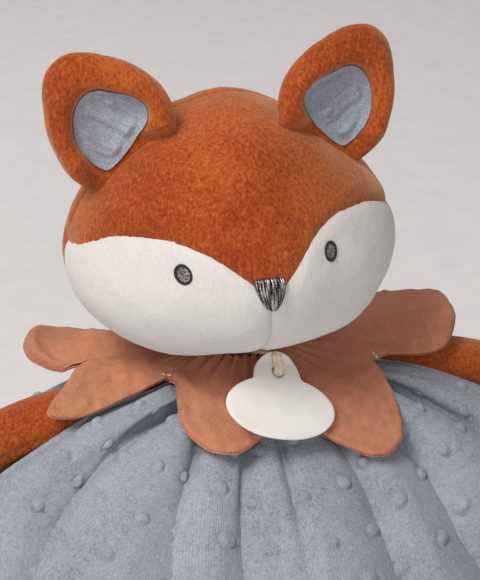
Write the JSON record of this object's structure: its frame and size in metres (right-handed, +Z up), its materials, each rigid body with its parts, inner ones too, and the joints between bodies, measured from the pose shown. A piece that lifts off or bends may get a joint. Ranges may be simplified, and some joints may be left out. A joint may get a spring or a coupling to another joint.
{
  "type": "comfort blanket toy",
  "caption": "Comfort blanket with a stuffed fox head, petal collar, plush arms and a doubled knit blanket that falls as a bell.",
  "frame": {"origin": "on the floor, below the middle of the blanket's hem", "axes": "+Z up, the face looks towards -Y, the arms reach out along X"},
  "size_m": [0.2713, 0.2383, 0.2182],
  "materials": {
    "orange_plush": "short-pile plush",
    "white_plush": "short-pile plush",
    "stuffing": "polyester fibre",
    "dark_thread": "matt embroidery thread",
    "pewter_thread": "metallic satin stitch",
    "blue_knit": "fine ribbed cotton knit",
    "blue_lining": "plain cotton jersey",
    "terracotta_gauze": "crinkled double gauze",
    "white_felt": "smooth pressed felt",
    "cream_cord": "twisted cotton cord"
  },
  "bodies": {
    "blanket": {"blanket_front": "blue_knit", "blanket_back": "blue_knit", "lining_front": "blue_lining", "lining_back": "blue_lining", "collar_top": "terracotta_gauze", "collar_lining": "terracotta_gauze", "neck_binding": "terracotta_gauze", "tag_cord": "cream_cord"},
    "neck": {"neck": "terracotta_gauze"},
    "head": {"head_filling": "stuffing", "cheek_left": "white_plush", "cheek_right": "white_plush", "forehead_panel": "orange_plush", "head_back_panel": "orange_plush", "eye_left": "dark_thread", "eye_right": "dark_thread", "nose": "pewter_thread"},
    "ear_left": {"ear_left": "orange_plush", "ear_lining_left": "blue_knit"},
    "ear_right": {"ear_right": "orange_plush", "ear_lining_right": "blue_knit"},
    "arm_left": {"arm_left": "orange_plush"},
    "arm_right": {"arm_right": "orange_plush"},
    "tag": {"tag": "white_felt"}
  },
  "joints": [
    {"name": "head_turn", "type": "hinge", "parent": "blanket", "child": "neck", "pos_m": [0, 0, 0.1075], "axis": [0, 0, 1], "range_deg": [-30, 30]},
    {"name": "head_nod", "type": "hinge", "parent": "neck", "child": "head", "pos_m": [0, 0, 0.1075], "axis": [-1, 0, 0], "range_deg": [0, 18]},
    {"name": "ear_left_fold", "type": "hinge", "parent": "head", "child": "ear_left", "pos_m": [-0.04398, -0.00968, 0.17517], "axis": [0.8597, -0.2028, 0.4689], "range_deg": [-14, 14], "stiffness_Nm_per_rad": 0.01},
    {"name": "ear_right_fold", "type": "hinge", "parent": "head", "child": "ear_right", "pos_m": [0.01995, -0.02018, 0.17728], "axis": [0.9384, 0.0455, -0.3426], "range_deg": [-14, 14], "stiffness_Nm_per_rad": 0.01},
    {"name": "arm_left_lift", "type": "hinge", "parent": "blanket", "child": "arm_left", "pos_m": [-0.047, 0, 0.0855], "axis": [0, 1, 0], "range_deg": [-8, 4]},
    {"name": "arm_right_lift", "type": "hinge", "parent": "blanket", "child": "arm_right", "pos_m": [0.047, 0, 0.0855], "axis": [0, -1, 0], "range_deg": [-8, 4]},
    {"name": "tag_swing", "type": "hinge", "parent": "blanket", "child": "tag", "pos_m": [0, -0.0314, 0.1036], "axis": [-0.9703, 0, 0.2419], "range_deg": [0, 55], "deforming": ["tag_cord"]}
  ]
}
